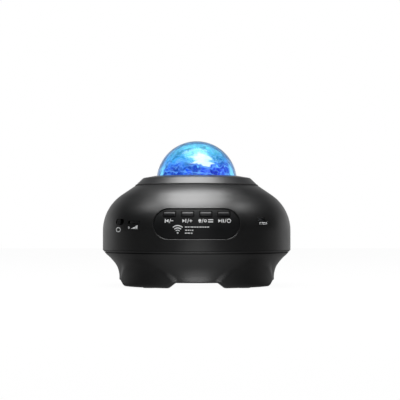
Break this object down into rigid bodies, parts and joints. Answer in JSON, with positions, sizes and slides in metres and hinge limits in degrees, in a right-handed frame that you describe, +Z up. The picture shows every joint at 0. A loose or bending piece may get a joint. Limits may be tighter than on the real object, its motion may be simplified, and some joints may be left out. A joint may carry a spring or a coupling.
{
  "type": "star projector",
  "caption": "Round tabletop star projector on four feet, with a turning ripple dome, a front key panel, side switch, volume wheel, speaker and power inlet.",
  "frame": {"origin": "on the floor, under the middle of the body", "axes": "+Z up, -Y towards the key panel at the front, +X to the right of someone facing the panel"},
  "size_m": [0.168, 0.168, 0.1295],
  "materials": {
    "shell_plastic": "satin moulded black",
    "base_plastic": "satin moulded black",
    "foot_rubber": "matt",
    "clear_dome": "clear polished",
    "ripple_dome": "rippled, lit blue",
    "bezel_plastic": "satin metallic black",
    "panel_plastic": "fine satin",
    "button_plastic": "satin",
    "knob_plastic": "ridged satin",
    "wheel_plastic": "knurled satin",
    "zinc_steel": "zinc plated",
    "magnet_steel": "black coated",
    "white_plastic": "diffuse white",
    "inner_plastic": "moulded",
    "gear_plastic": "moulded acetal",
    "lens_glass": "polished",
    "brass_case": "turned",
    "sink_aluminium": "cast",
    "white_board": "solder mask",
    "lamp_resin": "clear resin",
    "inlet_steel": "nickel plated",
    "foam_gasket": "foam",
    "surround_rubber": "moulded",
    "cone_paper": "pressed paper",
    "coil_copper": "enamelled",
    "chip_resin": "moulded",
    "shield_steel": "tinned",
    "capacitor_sleeve": "sleeve",
    "screw_steel": "black zinc",
    "circuit_board": "solder mask"
  },
  "bodies": {
    "housing": {"upper_shell": "shell_plastic", "lower_base": "base_plastic", "rubber_feet": "foot_rubber", "base_screws": "screw_steel", "outer_dome": "clear_dome", "top_bezel": "bezel_plastic", "bezel_screws": "screw_steel", "gear_motor": "zinc_steel", "motor_screws": "screw_steel", "light_well": "white_plastic", "well_screws": "screw_steel", "chassis_plate": "inner_plastic", "chassis_screws": "screw_steel", "heat_sink": "sink_aluminium", "laser_module": "brass_case", "laser_lens": "lens_glass", "lamp_board": "white_board", "lamps": "lamp_resin", "control_panel": "panel_plastic", "tact_switches": "inner_plastic", "button_board": "circuit_board", "panel_screws": "screw_steel", "power_switch_body": "inner_plastic", "volume_pot_body": "inner_plastic", "shelf_screws": "screw_steel", "side_board": "circuit_board", "port_board": "circuit_board", "power_inlet": "inlet_steel", "speaker_gasket": "foam_gasket", "speaker_frame": "zinc_steel", "speaker_screws": "screw_steel", "speaker_magnet": "magnet_steel", "speaker_surround": "surround_rubber", "main_board": "circuit_board", "board_screws": "screw_steel", "control_chips": "chip_resin", "radio_module": "shield_steel", "capacitors": "capacitor_sleeve"},
    "rotor": {"ripple_dome": "ripple_dome", "rotor_gear": "gear_plastic", "star_disc": "lens_glass"},
    "pinion": {"drive_pinion": "gear_plastic", "motor_shaft": "zinc_steel"},
    "volume_down_key": {"volume_down_button": "button_plastic", "volume_down_plunger": "inner_plastic"},
    "volume_up_key": {"volume_up_button": "button_plastic", "volume_up_plunger": "inner_plastic"},
    "light_key": {"light_button": "button_plastic", "light_plunger": "inner_plastic"},
    "mode_key": {"mode_button": "button_plastic", "mode_plunger": "inner_plastic"},
    "power_slide": {"power_slide_knob": "knob_plastic"},
    "volume_wheel": {"volume_wheel": "wheel_plastic"},
    "speaker_diaphragm": {"speaker_cone": "cone_paper", "speaker_coil": "coil_copper"}
  },
  "joints": [
    {"name": "rotor_spin", "type": "hinge", "parent": "housing", "child": "rotor", "pos_m": [0, 0, 0.085], "axis": [0, 0, 1], "continuous": true},
    {"name": "pinion_spin", "type": "hinge", "parent": "housing", "child": "pinion", "pos_m": [0, 0.044, 0.085], "axis": [0, 0, 1], "continuous": true},
    {"name": "volume_down_press", "type": "slide", "parent": "housing", "child": "volume_down_key", "axis": [0, 1, 0], "range_m": [0, 0.0006], "stiffness_N_per_m": 800},
    {"name": "volume_up_press", "type": "slide", "parent": "housing", "child": "volume_up_key", "axis": [0, 1, 0], "range_m": [0, 0.0006], "stiffness_N_per_m": 800},
    {"name": "light_press", "type": "slide", "parent": "housing", "child": "light_key", "axis": [0, 1, 0], "range_m": [0, 0.0006], "stiffness_N_per_m": 800},
    {"name": "mode_press", "type": "slide", "parent": "housing", "child": "mode_key", "axis": [0, 1, 0], "range_m": [0, 0.0006], "stiffness_N_per_m": 800},
    {"name": "power_slide", "type": "slide", "parent": "housing", "child": "power_slide", "axis": [0.6046, -0.7965, 0], "range_m": [0, 0.004]},
    {"name": "volume_turn", "type": "hinge", "parent": "housing", "child": "volume_wheel", "pos_m": [-0.04892, -0.0583, 0.0568], "axis": [0, 0, 1], "range_deg": [-135, 135]},
    {"name": "speaker_stroke", "type": "slide", "parent": "housing", "child": "speaker_diaphragm", "axis": [0, 0, 1], "range_m": [-0.001, 0.001], "stiffness_N_per_m": 900, "deforming": ["speaker_surround"]}
  ],
  "couplings": [
    {"joint": "pinion_spin", "follows": "rotor_spin", "ratio": -6.3333}
  ]
}
